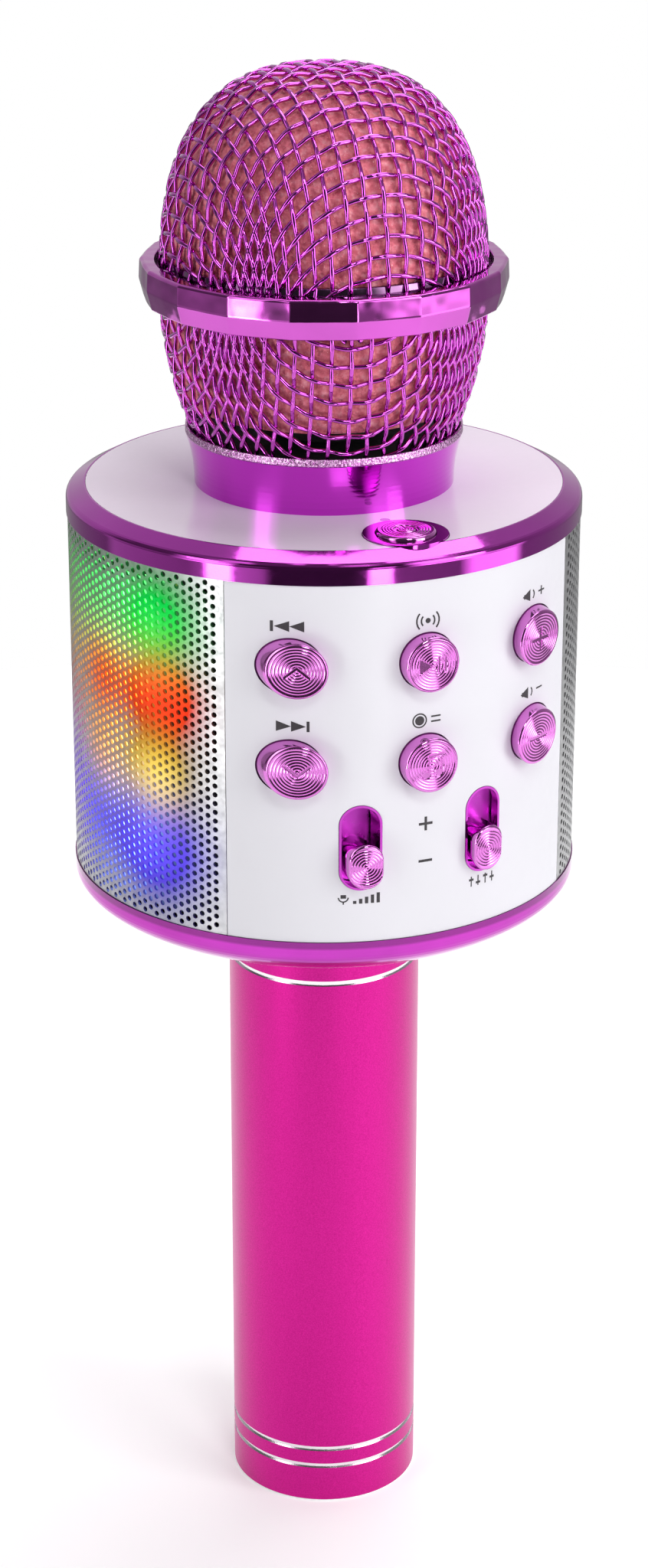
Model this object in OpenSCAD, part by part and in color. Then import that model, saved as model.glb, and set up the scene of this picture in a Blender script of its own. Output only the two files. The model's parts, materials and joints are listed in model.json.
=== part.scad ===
// Handheld karaoke microphone with a speaker drum, light strips and a wire mesh head.
// Millimetres. +Z runs up the grip towards the mesh head, -Y is the front with the keys.
// The origin is the centre of the flat bottom end of the grip.

/* [Grip] */
// Outside diameter of the aluminium grip tube
grip_d = 31.8; // [30:0.1:33]
// Wall thickness of the grip tube
grip_wall = 1.2; // [0.8:0.1:2]
// Height of the joint between the grip tube and the lower shell
grip_top = 102.8; // [100:0.1:104]
// Width of each turned silver groove
groove_w = 0.9; // [0.5:0.1:1.2]
// Depth of each turned silver groove
groove_depth = 0.3; // [0.1:0.05:0.5]

/* [Drum] */
// Outside radius of the panels and grilles
drum_r = 41; // [40:0.1:42]
// Thickness of the moulded panels
panel_wall = 2; // [1.5:0.1:2.4]
// Height of the top edge of the lower shell
drum_bottom = 118.2; // [117:0.1:119]
// Height of the bottom edge of the top ring
drum_top = 176.6; // [176:0.1:178]
// Half of the angle that the front panel covers
panel_half_angle = 44; // [42:0.5:46]
// Thickness of the perforated sheet of a grille
grille_sheet = 0.8; // [0.5:0.1:1]
// Outside radius of the two chrome trims of the drum
trim_r = 41.2; // [41.1:0.1:42]
// Radius of the white disc on top
disc_r = 38; // [37:0.1:38.5]
// Height of the upper face of the white disc
disc_top = 181.2; // [180.8:0.1:181.6]

/* [Keys and sliders] */
// Diameter of a round key
key_d = 8.8; // [8:0.1:9.2]
// Distance of the side key columns from the middle
key_column = 20.3; // [19.5:0.1:21]
// Height of the upper row of keys
key_row_high = 163.7; // [162:0.1:165]
// Height of the lower row of keys
key_row_low = 147.4; // [146.5:0.1:148.5]
// Radius of the curved surface that every key face lies on
key_face_r = 43.5; // [42.5:0.1:44.5]
// Travel of a key
key_travel = 0.5; // [0.3:0.1:0.6]
// Distance of the sliders from the middle
slider_x = 10.3; // [10:0.1:10.6]
// Height of the middle of a slider slot
slot_mid = 134; // [133:0.1:135]
// Height of a slider slot
slot_h = 13.4; // [13:0.1:14]
// Width of a slider slot
slot_w = 5.8; // [5.6:0.1:6]
// Travel of a slider
slider_travel = 5; // [4:0.1:5.3]
// Distance of the power key from the axis
power_y = 32.4; // [31.8:0.1:32.8]
// Diameter of the power key
power_d = 9.2; // [8.8:0.1:9.3]

/* [Head] */
// Outside radius of the wire mesh
mesh_r = 26; // [25.5:0.1:26.1]
// Thickness of the woven mesh
mesh_wall = 1.1; // [0.8:0.1:1.4]
// Height of the top of the mesh dome
head_top = 247; // [246:0.1:248.5]
// Corner radius of the faceted head ring at its widest
ring_corner_r = 29; // [28.5:0.1:29.5]
// Number of flat sides of the head ring
ring_sides = 18; // [14:2:24]
// Thickness of the foam liner
foam_wall = 6; // [4:0.5:8]

/* [Hidden] */

fine = 96;
grip_r = grip_d / 2;
grip_bore_r = grip_r - grip_wall;
groove_heights = [7.2, 10.6, 99.4];
panel_in_r = drum_r - panel_wall;
fit_gap = 0.1;
key_r = key_d / 2;
key_hole_gap = 0.2;
flange_lip = 1;
flange_h = 0.8;
flange_gap = 0.3;
key_columns = [-key_column, 0, key_column];
key_rows = [key_row_high, key_row_low];
// The key board's front face, and the switches that stand on it
board_front = -23.3;
board_t = 1.6;
switch_w = 6;
switch_h = 3.5;
plunger_h = 0.7;
stem_end = board_front - switch_h - plunger_h - key_travel - 0.2;
slider_xs = [-slider_x, slider_x];
knob_w = 5.3;
knob_h = 7.4;
knob_z = slot_mid - slot_h / 2 + knob_h / 2 + 0.7;
bezel_t = 0.35;
bezel_back = -36.7;
carrier_front = -36.2;
carrier_t = 0.8;
speaker_z = 147.4;
speaker_r = 18;
baffle_x = 27;
baffle_t = 2;
deck_low = 119.2;
deck_high = 174;
deck_t = 2;
deck_r = 38.8;
disc_t = 1.6;
boss_r = 6.6;
boss_top = disc_top + 0.25;
power_bore_r = power_d / 2 + 0.15;
// Height of the flat ends of the two crimped mesh bands, which meet inside the head ring
band_low = 209.6;
band_meet = 213.9;
band_high = 218.2;
band_t = 1;
ring_low = 210.7;
ring_mid = 213.7;
ring_high = 217;
ring_bore_r = mesh_r + 0.4;
collar_low_r = 20.7;
collar_top_r = 22.05;
collar_top = 190.5;
mesh_foot_z = 188.6;
mesh_foot_r = 20.7;
// The lower mesh leaves the collar here and widens up to the band
bowl_low_z = 191;
bowl_low_r = 21.75;
// The dome's outline is a superellipse about this height, which the band hides
dome_low = 211;
dome_power = 2.66;
port_z = 134;
led_heights = [129, 142.3, 155.6, 168.9];
led_angles = [-22, 22];
// The battery cell, and the height of each contact at its ends
battery_r = 9.1;
battery_low = 18.4;
battery_high = 83.4;
contact_h = 1.4;
// The coupling that joins the grip tube to the lower shell
coupling_low = 89;
coupling_z = 109.6;
coupling_flange_r = 24;
coupling_flange_t = 2;
coupling_screw_r = 19.5;
coupling_angles = [30, 150, 270];
chassis_screw_xs = [-30.5, 30.5];
chassis_screw_ys = [-20.5, 20.5];
circuit_w = 52;
circuit_h = 50;
main_board_front = 22;
aux_x = -13;
aux_nose_r = 3;
aux_mouth = 38.6;
aux_bore_r = 1.8;
aux_depth = 14;
charge_x = 0;
card_x = 14;
light_y = 24.5;
light_r = 0.75;
neck_r = 17.6;
lever_w = 2;
control_depth = 5;
carrier_w = 6.4;
carrier_h = 20.4;

function bezier(p, t) = pow(1 - t, 3) * p[0] + 3 * pow(1 - t, 2) * t * p[1]
    + 3 * (1 - t) * t * t * p[2] + pow(t, 3) * p[3];
function curve(p, n) = [for (i = [0:n]) bezier(p, i / n)];
function reversed(points) = [for (i = [len(points) - 1:-1:0]) points[i]];
function superellipse(r, h, a) =
    [r * pow(cos(a), 2 / dome_power), dome_low + h * pow(sin(a), 2 / dome_power)];
// Outline of the mesh dome, pulled in by d, from height z up to the axis
function dome_curve(d, z, n = 24) = let (h = head_top - dome_low - d,
    low = asin(pow(max(0, z - dome_low) / h, dome_power / 2)))
    [for (i = [0:n]) superellipse(mesh_r - d, h, min(90, low + (90 - low) * i / n))];
// Outline of the lower mesh, pulled in by d, from its foot up to the band
function bowl_curve(d, n = 12) = concat([[mesh_foot_r - d, mesh_foot_z]], curve([
    [bowl_low_r - d, bowl_low_z], [bowl_low_r + 3.25 - d, bowl_low_z + 7.2],
    [mesh_r - d, band_low - 2], [mesh_r - d, band_low]], n));
// Front of the flange of the key in column x, just behind the panel's inner face
function flange_front(x) = flange_gap - sqrt(pow(panel_in_r, 2) - pow(abs(x) + key_r + flange_lip, 2));

// Round bar along Y, from y_front back to y_back
module y_bar(x, z, y_front, y_back, r) {
    translate([x, y_back, z]) rotate([90, 0, 0]) cylinder(r = r, h = y_back - y_front, $fn = fine);
}

// Bar along Y with round ends above and below
module y_slot(x, z, y_front, y_back, w, h) {
    translate([x, y_back, z]) rotate([90, 0, 0]) linear_extrude(y_back - y_front) {
        square([w, h - w], center = true);
        for (side = [-1, 1]) translate([0, side * (h - w) / 2]) circle(d = w, $fn = fine);
    }
}

// Block centred on x and z that runs from y_front back to y_back
module y_block(x, z, y_front, y_back, w, h) {
    translate([x - w / 2, y_front, z - h / 2]) cube([w, y_back - y_front, h]);
}

// Part of a drum wall; middle is the angle from +X, half is half of the angle it covers
module wall_sector(r_in, r_out, low, high, middle, half) {
    rotate([0, 0, middle - half]) rotate_extrude(angle = 2 * half, $fn = 4 * fine)
        translate([r_in, low]) square([r_out - r_in, high - low]);
}

module ring(r_in, r_out, low, high) {
    difference() {
        translate([0, 0, low]) cylinder(r = r_out, h = high - low, $fn = fine);
        translate([0, 0, low - 1]) cylinder(r = r_in, h = high - low + 2, $fn = fine);
    }
}

module lathe(points) {
    rotate_extrude($fn = fine) polygon(points);
}

module grip_tube() {
    chamfer = 0.4;
    color("deeppink") difference() {
        lathe([[grip_bore_r, 0], [grip_r - chamfer, 0], [grip_r, chamfer],
               [grip_r, grip_top - chamfer], [grip_r - chamfer, grip_top], [grip_bore_r, grip_top]]);
        for (z = groove_heights)
            ring(grip_r - groove_depth, grip_r + 1, z - groove_w / 2, z + groove_w / 2);
    }
}

module grip_end_cap() {
    cap_r = grip_bore_r - fit_gap / 2;
    cap_h = 6;
    cap_wall = 1.6;
    floor_t = 2.2;
    color("deeppink") lathe([[0, 0], [cap_r, 0], [cap_r, cap_h], [cap_r - cap_wall, cap_h],
        [cap_r - cap_wall, floor_t], [0, floor_t]]);
}

module battery_holder() {
    plate_r = 13.8;
    plate_t = 2;
    rail_w = 3;
    color("dimgray") {
        for (z = [battery_low - contact_h - plate_t, battery_high + contact_h])
            translate([0, 0, z]) cylinder(r = plate_r, h = plate_t, $fn = fine);
        for (side = [-1, 1]) translate([side * 11.6 - rail_w / 2, -4, battery_low - contact_h])
            cube([rail_w, 8, battery_high - battery_low + 2 * contact_h]);
    }
}

module battery() {
    nub = 1;
    color("royalblue") {
        translate([0, 0, battery_low])
            cylinder(r = battery_r, h = battery_high - battery_low - nub, $fn = fine);
        translate([0, 0, battery_high - nub]) cylinder(r = 2.8, h = nub, $fn = fine);
    }
}

module battery_contacts() {
    color("gold") {
        translate([0, 0, battery_high]) cylinder(r = 4, h = contact_h, $fn = fine);
        translate([0, 0, battery_low - contact_h]) cylinder(r1 = 6, r2 = 3.5, h = contact_h, $fn = fine);
    }
}

module grip_coupling() {
    spigot_r = grip_bore_r - fit_gap / 2;
    color("dimgray") difference() {
        union() {
            translate([0, 0, coupling_low])
                cylinder(r = spigot_r, h = coupling_z - coupling_low, $fn = fine);
            translate([0, 0, coupling_z]) cylinder(r = coupling_flange_r, h = coupling_flange_t, $fn = fine);
        }
        translate([0, 0, coupling_low - 1]) cylinder(r = spigot_r - 2.4, h = 30, $fn = fine);
        for (a = coupling_angles) rotate([0, 0, a]) translate([coupling_screw_r, 0, coupling_z - 1])
            cylinder(r = 1.3, h = 4, $fn = fine);
    }
}

module screw(head_r, shank_r, length) {
    cylinder(r = shank_r, h = length, $fn = 32);
    translate([0, 0, length]) difference() {
        cylinder(r = head_r, h = 1.3, $fn = 32);
        for (a = [0, 90]) rotate([0, 0, a])
            translate([-head_r * 0.6, -0.25, 0.6]) cube([head_r * 1.2, 0.5, 1]);
    }
}

module coupling_screws() {
    color("silver") for (a = coupling_angles) rotate([0, 0, a])
        translate([coupling_screw_r, 0, coupling_z - 1.4]) screw(2.4, 1.2, 3.5);
}

// Chrome bowl below the drum, with a seat for the coupling flange and three screw posts
module lower_shell() {
    wall = 2;
    lip_z = 116.2;
    post_foot = 106;
    bowl_out = [[trim_r, lip_z], [trim_r, lip_z - 3.1], [34.3, 110.9], [grip_r + 0.4, grip_top]];
    bowl_in = [[trim_r - wall, lip_z + 0.6], [trim_r - wall, lip_z - 1.4], [33, 113],
        [grip_r + 0.6, grip_top + wall + 0.1]];
    color("mediumvioletred") difference() {
        union() {
            lathe(concat([[trim_r - wall, drum_bottom], [trim_r, drum_bottom]], curve(bowl_out, 16),
                [[grip_bore_r, grip_top], [grip_bore_r, grip_top + wall]], reversed(curve(bowl_in, 16))));
            for (a = coupling_angles) rotate([0, 0, a]) translate([coupling_screw_r, 0, post_foot])
                cylinder(r = 2.6, h = coupling_z - post_foot, $fn = fine);
        }
        for (a = coupling_angles) rotate([0, 0, a]) translate([coupling_screw_r, 0, coupling_z - 1.5])
            cylinder(r = 1.25, h = 3, $fn = fine);
    }
}

module front_panel() {
    color("white") difference() {
        wall_sector(panel_in_r, drum_r, drum_bottom + fit_gap / 2, drum_top - fit_gap / 2,
            -90, panel_half_angle);
        for (x = key_columns, z = key_rows) y_bar(x, z, -45, -25, key_r + key_hole_gap);
        for (x = slider_xs)
            y_slot(x, slot_mid, -45, -30, slot_w + 2 * bezel_t + fit_gap, slot_h + 2 * bezel_t + fit_gap);
    }
}

module back_panel() {
    color("white") difference() {
        wall_sector(panel_in_r, drum_r, drum_bottom + fit_gap / 2, drum_top - fit_gap / 2,
            90, panel_half_angle);
        y_bar(aux_x, port_z, 30, 45, aux_nose_r + 0.2);
        y_block(charge_x, port_z, 30, 45, 8.6, 3.6);
        y_block(card_x, port_z, 30, 45, 12, 1.4);
    }
}

module grille(side) {
    half = 90 - panel_half_angle - 0.15;
    color("silver") wall_sector(drum_r - grille_sheet, drum_r, drum_bottom + fit_gap / 2,
        drum_top - fit_gap / 2, side > 0 ? 0 : 180, half);
}

module left_grille() { grille(-1); }
module right_grille() { grille(1); }

module scrim(side) {
    color("gainsboro") wall_sector(39.5, 39.9, drum_bottom + 1.8, drum_top - 2.8, side > 0 ? 0 : 180, 43);
}

module left_scrim() { scrim(-1); }
module right_scrim() { scrim(1); }

module top_ring() {
    ledge_z = disc_top - disc_t - fit_gap / 2;
    shoulder = [[trim_r, 179], [trim_r, 179.5], [trim_r - 0.3, 179.9], [trim_r - 0.9, 180.15]];
    color("mediumvioletred") difference() {
        union() {
            lathe(concat([[panel_in_r, drum_top], [trim_r, drum_top]], curve(shoulder, 5),
                [[disc_r + 0.3, disc_top], [disc_r + 0.05, disc_top], [disc_r + 0.05, ledge_z],
                 [disc_r - 2, ledge_z], [disc_r - 2, 178], [panel_in_r, 178]]));
            translate([0, -power_y, 178.6]) cylinder(r = boss_r, h = boss_top - 178.6, $fn = fine);
        }
        translate([0, -power_y, 170]) cylinder(r = power_bore_r, h = 20, $fn = fine);
        translate([0, -power_y, 170]) cylinder(r = boss_r - 0.4, h = 8.6, $fn = fine);
    }
}

module top_disc() {
    color("lavender") difference() {
        ring(neck_r + 0.2, disc_r, disc_top - disc_t, disc_top);
        translate([0, -power_y, disc_top - 5]) cylinder(r = boss_r + 0.1, h = 10, $fn = fine);
        translate([0, -light_y, disc_top - 5]) cylinder(r = light_r + 0.05, h = 10, $fn = fine);
    }
}

module power_key() {
    flange_z = 178.3;
    color("mediumvioletred") translate([0, -power_y, 0]) {
        translate([0, 0, flange_z - 1]) cylinder(r = power_bore_r + 0.9, h = 1, $fn = fine);
        lathe([[0, flange_z - 0.5], [power_d / 2, flange_z - 0.5], [power_d / 2, boss_top + 0.25],
               [power_d / 2 - 0.4, boss_top + 0.6], [0, boss_top + 0.75]]);
    }
}

module power_switch() {
    color("black") {
        translate([-3, -power_y - 3, deck_high - 1]) cube([6, 6, 3]);
        translate([0, -power_y, deck_high + 2]) cylinder(r = 1.75, h = 0.5, $fn = fine);
    }
}

module indicator_light() {
    color("white") {
        translate([0, -light_y, deck_high + deck_t])
            cylinder(r = 1.2, h = disc_top - disc_t - deck_high - deck_t, $fn = fine);
        translate([0, -light_y, disc_top - disc_t]) cylinder(r = light_r, h = disc_t, $fn = fine);
    }
}

module chassis() {
    post_r = 2;
    color("dimgray") difference() {
        union() {
            ring(22, deck_r, deck_low, deck_low + deck_t);
            ring(neck_r - 3, deck_r, deck_high, deck_high + deck_t);
            for (side = [-1, 1])
                translate([side > 0 ? baffle_x : -baffle_x - baffle_t, -24, deck_low + deck_t])
                cube([baffle_t, 48, deck_high - deck_low - deck_t]);
            for (x = chassis_screw_xs, y = chassis_screw_ys) translate([x, y, deck_low + deck_t])
                cylinder(r = post_r, h = deck_high - deck_low - deck_t, $fn = fine);
        }
        translate([-50, 0, speaker_z]) rotate([0, 90, 0]) cylinder(r = speaker_r - 1.6, h = 100, $fn = fine);
        translate([-3.2, -power_y - 3.2, deck_high - 1]) cube([6.4, 6.4, 4]);
        for (x = chassis_screw_xs, y = chassis_screw_ys) translate([x, y, deck_high - 5])
            cylinder(r = 0.95, h = 10, $fn = fine);
    }
}

module chassis_screws() {
    color("silver") for (x = chassis_screw_xs, y = chassis_screw_ys)
        translate([x, y, deck_high - 4]) screw(1.8, 0.9, 4 + deck_t);
}

// The speaker faces along +X before it is turned to its side of the drum
module facing(side) {
    translate([0, 0, speaker_z]) rotate([0, 90 * side, 0]) children();
}

module speaker_frame(side) {
    face = baffle_x + baffle_t;
    color("black") facing(side) lathe([[speaker_r - 2.4, face], [speaker_r, face], [speaker_r, face + 1.2],
        [speaker_r - 3, face + 1.2], [speaker_r - 3, face - 1.5], [8.6, 18.4], [8.6, 17.2], [9.6, 17.2],
        [9.8, 18], [speaker_r - 2.4, face - 1.8]]);
}

module speaker_cone(side) {
    color("gray") facing(side) lathe([[0, 23.2], [3.5, 22.4], [5, 21], [13.2, 28.6], [14, 29.2],
        [14.8, 28.6], [14.8, 28.1], [14, 28.6], [13.4, 28], [5, 20.2], [0, 20.2]]);
}

module speaker_magnet(side) {
    color("silver") facing(side) lathe([[0, 10], [11, 10], [11, 16.2], [9.6, 17.1], [0, 17.1]]);
}

module left_speaker_frame() { speaker_frame(-1); }
module left_speaker_cone() { speaker_cone(-1); }
module left_speaker_magnet() { speaker_magnet(-1); }
module right_speaker_frame() { speaker_frame(1); }
module right_speaker_cone() { speaker_cone(1); }
module right_speaker_magnet() { speaker_magnet(1); }

// Two upright light strips behind one grille, with a row of light chips on each
module led_strips(side) {
    strip_x = 35;
    color("white") for (a = led_angles) rotate([0, 0, (side > 0 ? 0 : 180) + a]) {
        translate([strip_x, -3, deck_low + deck_t]) cube([0.8, 6, deck_high - deck_low - deck_t]);
        for (z = led_heights) translate([strip_x + 0.8, -2.5, z - 2.5]) cube([1.6, 5, 5]);
    }
}

module left_led_strips() { led_strips(-1); }
module right_led_strips() { led_strips(1); }

module key_board() {
    color("seagreen") y_block(0, (deck_low + deck_t + deck_high) / 2, board_front, board_front + board_t,
        circuit_w, circuit_h);
}

module key_switches() {
    color("black") for (x = key_columns, z = key_rows) {
        y_block(x, z, board_front - switch_h, board_front, switch_w, switch_w);
        y_bar(x, z, board_front - switch_h - plunger_h, board_front - switch_h, 1.75);
    }
}

module slide_controls() {
    control_z = knob_z + slider_travel / 2;
    color("silver") for (x = slider_xs) difference() {
        y_block(x, control_z, board_front - control_depth, board_front, 8, 24);
        y_slot(x, control_z, board_front - control_depth - 1, board_front - 1,
            lever_w + 1, slider_travel + 5);
    }
}

module main_board() {
    color("seagreen") y_block(0, (deck_low + deck_t + deck_high) / 2,
        main_board_front, main_board_front + board_t, circuit_w, circuit_h);
}

module board_components() {
    color("black") {
        y_block(-12, 156, 20.8, main_board_front, 9, 9);
        y_block(6, 152, 20.8, main_board_front, 7, 7);
        y_block(18, 164, 20.2, main_board_front, 5, 4);
        for (x = [-20, -8, 8]) y_bar(x, 142, 14, main_board_front, 3.2);
    }
}

module aux_jack() {
    color("black") difference() {
        union() {
            y_block(aux_x, port_z, main_board_front + board_t, 34, 8, 7);
            y_bar(aux_x, port_z, 34, aux_mouth, aux_nose_r);
        }
        y_bar(aux_x, port_z, aux_mouth - aux_depth, aux_mouth + 1, aux_bore_r);
    }
}

module charge_socket() {
    color("silver") difference() {
        y_block(charge_x, port_z, main_board_front + board_t, 40.4, 8, 3);
        y_block(charge_x, port_z, 35, 41, 7.2, 2.1);
    }
    color("silver") y_block(charge_x, port_z + 0.3, 35, 39.4, 5.4, 0.6);
}

module card_holder() {
    color("silver") difference() {
        y_block(card_x, port_z, main_board_front + board_t, 33, 13, 2.6);
        y_block(card_x, port_z, 25, 34, 11.4, 1.1);
    }
}

// One sprung key: a face on the common curved surface, a flange behind the panel and a stem
module key(x, z) {
    front = flange_front(x);
    color("mediumvioletred") {
        intersection() {
            y_bar(x, z, -key_face_r - 1, front + flange_h / 2, key_r);
            cylinder(r = key_face_r, h = head_top, $fn = 4 * fine);
        }
        y_bar(x, z, front, front + flange_h, key_r + flange_lip);
        if (front + flange_h < stem_end) y_bar(x, z, front + flange_h / 2, stem_end, 1.6);
    }
}

module prev_key() { key(-key_column, key_row_high); }
module next_key() { key(-key_column, key_row_low); }
module play_key() { key(0, key_row_high); }
module record_key() { key(0, key_row_low); }
module volume_up_key() { key(key_column, key_row_high); }
module volume_down_key() { key(key_column, key_row_low); }

module slider_bezels() {
    color("mediumvioletred") for (x = slider_xs) intersection() {
        difference() {
            y_slot(x, slot_mid, -45, bezel_back, slot_w + 2 * bezel_t, slot_h + 2 * bezel_t);
            y_slot(x, slot_mid, -46, bezel_back + 1, slot_w, slot_h);
        }
        cylinder(r = drum_r + 0.1, h = head_top, $fn = 4 * fine);
    }
}

// Knob, the carrier plate that closes the slot behind it, and the lever into the control
module slider(x) {
    color("mediumvioletred") {
        intersection() {
            y_slot(x, knob_z, -key_face_r - 1, carrier_front + carrier_t, knob_w, knob_h);
            cylinder(r = key_face_r, h = head_top, $fn = 4 * fine);
        }
        y_block(x, knob_z, carrier_front, carrier_front + carrier_t, carrier_w, carrier_h);
        y_block(x, knob_z, carrier_front, board_front - 3, lever_w, lever_w + 0.4);
    }
}

module mic_volume_slider() { slider(-slider_x); }
module remix_slider() { slider(slider_x); }

module neck() {
    color("dimgray") union() {
        ring(neck_r - 3, neck_r, deck_high + deck_t, 187);
        ring(neck_r - 6, neck_r, 187, 188);
    }
}

module collar() {
    flange_t = 1.6;
    rim_z = collar_top - 1.1;
    outside = [[collar_low_r, disc_top], [collar_low_r, 185], [collar_top_r - 0.6, 187.5],
        [collar_top_r, rim_z]];
    inside = [[collar_low_r - 1.3, disc_top + flange_t], [collar_low_r - 1.3, 185.4],
        [collar_top_r - 1.5, 187.5], [collar_top_r - 0.8, rim_z]];
    color("mediumvioletred") lathe(concat(curve(outside, 10),
        [[collar_top_r - 0.05, collar_top], [collar_top_r - 0.35, collar_top]], reversed(curve(inside, 10)),
        [[neck_r + 0.1, disc_top + flange_t], [neck_r + 0.1, disc_top]]));
}

module head_base() {
    color("dimgray") {
        ring(6, 19.2, 188, 189.6);
        ring(6, 9, 189.6, 203);
    }
}

module lower_mesh() {
    color("orchid") lathe(concat(bowl_curve(0), [[mesh_r + 0.2, band_low + 1.2],
        [mesh_r + 0.2, band_meet], [mesh_r + 0.2 - band_t, band_meet], [mesh_r - mesh_wall, band_low]],
        reversed(bowl_curve(mesh_wall))));
}

module upper_mesh() {
    color("orchid") lathe(concat([[mesh_r + 0.2 - band_t, band_meet + fit_gap],
        [mesh_r + 0.2, band_meet + fit_gap], [mesh_r + 0.2, band_high - 0.3]],
        dome_curve(0, band_high), reversed(dome_curve(mesh_wall, band_high))));
}

module ring_slice(r, z) {
    translate([0, 0, z]) linear_extrude(0.01)
        polygon([for (i = [0:ring_sides - 1]) r * [cos(360 * i / ring_sides), sin(360 * i / ring_sides)]]);
}

module head_ring() {
    first_corner = -90 - 22.5 + 180 / ring_sides;
    color("mediumvioletred") rotate([0, 0, first_corner]) difference() {
        union() {
            hull() {
                ring_slice(ring_corner_r - 0.7, ring_low);
                ring_slice(ring_corner_r, ring_mid);
            }
            hull() {
                ring_slice(ring_corner_r, ring_mid);
                ring_slice(ring_corner_r - 0.2, ring_high - 0.4);
                ring_slice(ring_corner_r - 0.6, ring_high);
            }
        }
        translate([0, 0, ring_low - 1]) cylinder(r = ring_bore_r, h = 10, $fn = fine);
    }
}

module foam_liner() {
    gap = mesh_wall + 0.3;
    foot = 194;
    shoulder = 212;
    color("salmon") lathe(concat([[mesh_r - gap - foam_wall - 1.5, foot], [bowl_low_r - gap + 1.2, foot]],
        [[mesh_r - gap - 1.2, 201], [mesh_r - gap - 0.2, 207]], dome_curve(gap, shoulder),
        reversed(dome_curve(gap + foam_wall, shoulder))));
}

module capsule_mount() {
    color("black") lathe([[6, 203], [6, 205], [4, 205], [4, 208], [9.8, 208], [9.8, 214], [11.4, 214],
        [11.4, 206.5], [10.4, 203]]);
}

module mic_capsule() {
    color("silver") difference() {
        translate([0, 0, 208]) cylinder(r = 9.7, h = 13, $fn = fine);
        for (a = [0:45:315]) rotate([0, 0, a]) translate([5.5, 0, 219.5]) cylinder(r = 1, h = 3, $fn = fine);
    }
}

grip_tube();
grip_end_cap();
battery_holder();
battery();
battery_contacts();
grip_coupling();
coupling_screws();
lower_shell();
front_panel();
back_panel();
left_grille();
right_grille();
left_scrim();
right_scrim();
top_ring();
top_disc();
chassis();
chassis_screws();
left_speaker_frame();
left_speaker_cone();
left_speaker_magnet();
right_speaker_frame();
right_speaker_cone();
right_speaker_magnet();
left_led_strips();
right_led_strips();
key_board();
key_switches();
slide_controls();
main_board();
board_components();
aux_jack();
charge_socket();
card_holder();
prev_key();
next_key();
play_key();
record_key();
volume_up_key();
volume_down_key();
slider_bezels();
mic_volume_slider();
remix_slider();
power_key();
power_switch();
indicator_light();
neck();
collar();
head_base();
lower_mesh();
upper_mesh();
head_ring();
foam_liner();
capsule_mount();
mic_capsule();
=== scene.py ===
import json
import math

import bpy
import numpy as np
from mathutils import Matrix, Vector, noise


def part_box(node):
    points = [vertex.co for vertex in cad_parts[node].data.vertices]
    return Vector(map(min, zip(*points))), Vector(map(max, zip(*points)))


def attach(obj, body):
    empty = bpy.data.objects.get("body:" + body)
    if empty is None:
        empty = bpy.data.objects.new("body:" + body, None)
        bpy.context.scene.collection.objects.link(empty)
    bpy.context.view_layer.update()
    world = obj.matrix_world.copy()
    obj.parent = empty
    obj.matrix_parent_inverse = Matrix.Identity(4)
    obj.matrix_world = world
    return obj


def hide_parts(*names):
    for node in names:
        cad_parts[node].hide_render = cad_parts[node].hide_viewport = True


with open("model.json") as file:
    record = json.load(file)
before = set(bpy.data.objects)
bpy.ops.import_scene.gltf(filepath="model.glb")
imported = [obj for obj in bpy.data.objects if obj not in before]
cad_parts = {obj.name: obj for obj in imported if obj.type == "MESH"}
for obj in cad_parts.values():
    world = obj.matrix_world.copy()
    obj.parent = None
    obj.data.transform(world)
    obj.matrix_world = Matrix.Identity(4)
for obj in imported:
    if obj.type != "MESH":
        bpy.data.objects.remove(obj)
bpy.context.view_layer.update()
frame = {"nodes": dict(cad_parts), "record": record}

MM = 0.001
ROOT = "microphone"


# ---------------------------------------------------------------- sizes, read from the frame in mm
def box_mm(node):
    low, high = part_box(node)
    return low / MM, high / MM


DRUM_R = -box_mm("front_panel")[0].y
GRILLE_LOW, GRILLE_HIGH = box_mm("left_grille")
MESH_LOW, MESH_HIGH = box_mm("upper_mesh")
BOWL_LOW, BOWL_HIGH = box_mm("lower_mesh")
RING_LOW, RING_HIGH = box_mm("head_ring")
FOAM_LOW = box_mm("foam_liner")[0]
COLLAR_TOP = box_mm("collar")[1].z
SHELL_TOP = box_mm("lower_shell")[1].z
GRIP_R = box_mm("grip_tube")[1].x
KEY_FACE_R = -box_mm("play_key")[0].y
MESH_R = MESH_HIGH.x - 0.2


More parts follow.
